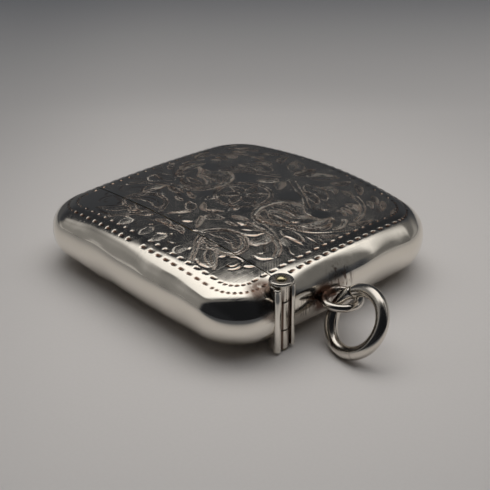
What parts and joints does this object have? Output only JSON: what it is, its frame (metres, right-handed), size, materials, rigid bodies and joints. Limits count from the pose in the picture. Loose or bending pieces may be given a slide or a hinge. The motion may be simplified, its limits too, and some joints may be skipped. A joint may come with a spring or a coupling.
{
  "type": "vesta case",
  "caption": "Pillow-shaped pocket match case with a pin-hinged end lid, serrated striker in the bowed base and a hanging ring on a side loop.",
  "frame": {"origin": "middle of the flat on the back that the case rests on", "axes": "+X towards the hinge and hanging ring, -Y towards the lid end, +Y towards the striker, +Z out of the engraved front"},
  "size_m": [0.0533, 0.0416, 0.01],
  "materials": {
    "engraved_silver": "polished silver, engraved with darkened leaf scrolls",
    "polished_silver": "polished silver with fine handling scratches",
    "gilt_lining": "satin gilt",
    "striker_silver": "serrated and worn silver",
    "hinge_silver": "worn silver with brown tarnish",
    "pin_brass": "bright pin end",
    "spring_steel": "blued and worn"
  },
  "bodies": {
    "case_body": {"body_front": "engraved_silver", "body_back": "polished_silver", "mouth_collar": "gilt_lining", "striker_plate": "striker_silver", "body_bearer": "polished_silver", "upper_knuckle": "hinge_silver", "lower_knuckle": "hinge_silver", "hinge_pin": "pin_brass", "lid_spring": "spring_steel", "suspension_loop": "polished_silver"},
    "lid": {"lid_front": "engraved_silver", "lid_back": "polished_silver", "lid_bearer": "polished_silver", "lid_knuckle": "hinge_silver", "thumb_piece": "polished_silver"},
    "ring": {"hanging_ring": "polished_silver"}
  },
  "joints": [
    {"name": "lid_hinge", "type": "hinge", "parent": "case_body", "child": "lid", "pos_m": [0.0201, -0.0122, 0.005], "axis": [0, 0, 1], "range_deg": [0, 82]},
    {"name": "ring_swing", "type": "hinge", "parent": "case_body", "child": "ring", "pos_m": [0.02515, -0.0046, 0.005], "axis": [0, -1, 0], "range_deg": [0, 95]}
  ]
}
